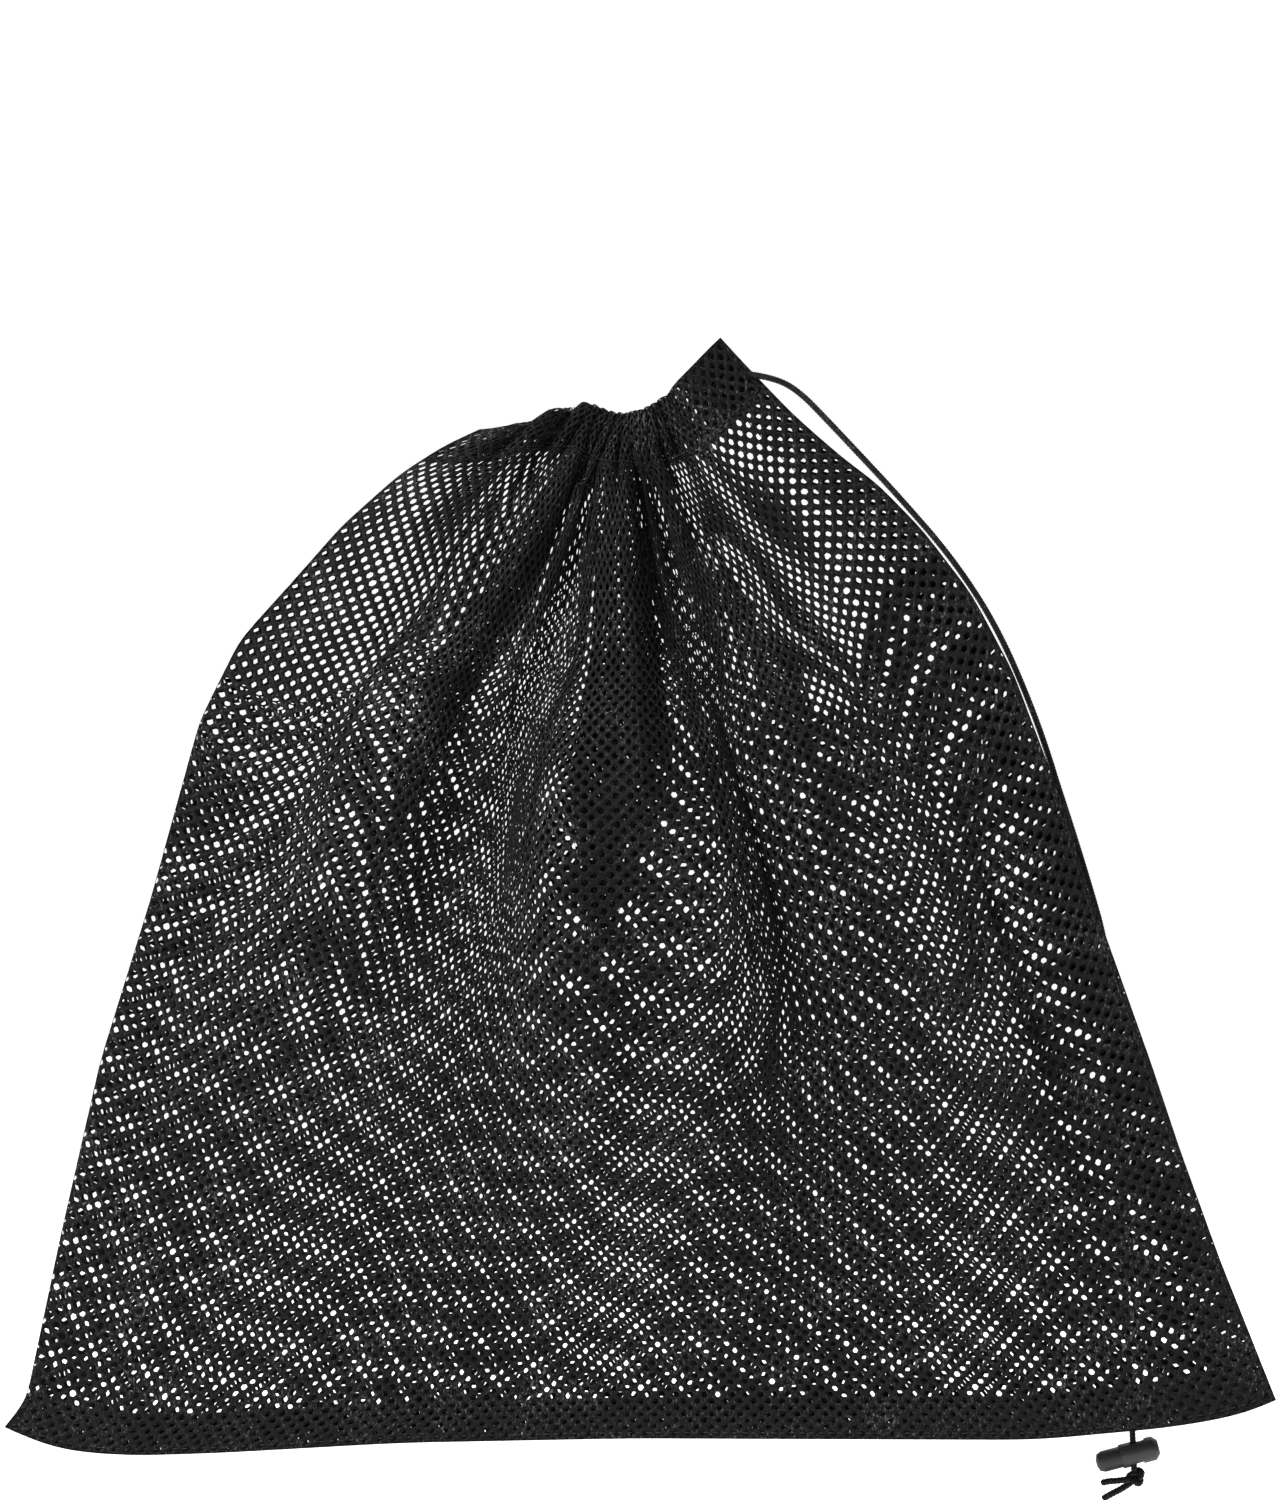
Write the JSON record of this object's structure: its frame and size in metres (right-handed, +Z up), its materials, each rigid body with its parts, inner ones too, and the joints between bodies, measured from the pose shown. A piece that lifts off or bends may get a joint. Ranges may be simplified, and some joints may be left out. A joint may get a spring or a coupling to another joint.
{
  "type": "mesh laundry bag",
  "caption": "Black mesh drawstring laundry bag held by its gathered neck, cord running in a folded hem, with a sprung cord lock and knot on the hanging cord ends.",
  "frame": {"origin": "the point at which a hand pinches the front and back hems together at the gathered neck", "axes": "+Z up, +X towards the side seam and the cord exit, front of the bag towards -Y"},
  "size_m": [0.3955, 0.0719, 0.3601],
  "materials": {
    "mesh": "black polyester warp-knit mesh",
    "cord": "black braided polyester cord",
    "thread": "black sewing thread",
    "lock_barrel": "satin black",
    "lock_plunger": "satin black",
    "spring_steel": "spring wire"
  },
  "bodies": {
    "bag": {"front_wall": "mesh", "back_wall": "mesh", "front_hem": "mesh", "back_hem": "mesh", "side_seam_allowance": "mesh", "bottom_seam_allowance": "mesh", "side_seam_thread": "thread", "bottom_seam_thread": "thread", "front_hem_thread": "thread", "back_hem_thread": "thread", "drawcord_in_hem": "cord", "drawcord_front_strand": "cord", "drawcord_back_strand": "cord", "end_knot": "cord", "drawcord_upper_tail": "cord", "drawcord_lower_tail": "cord"},
    "cord_lock": {"lock_barrel": "lock_barrel", "lock_spring": "spring_steel"},
    "plunger": {"lock_plunger": "lock_plunger"}
  },
  "joints": [
    {"name": "lock_slide", "type": "slide", "parent": "bag", "child": "cord_lock", "axis": [-0.0471, 0, 0.9989], "range_m": [0, 0.09]},
    {"name": "plunger_press", "type": "slide", "parent": "cord_lock", "child": "plunger", "axis": [0.9659, 0, 0.2588], "range_m": [0, 0.0023], "stiffness_N_per_m": 400, "deforming": ["lock_spring"]}
  ]
}
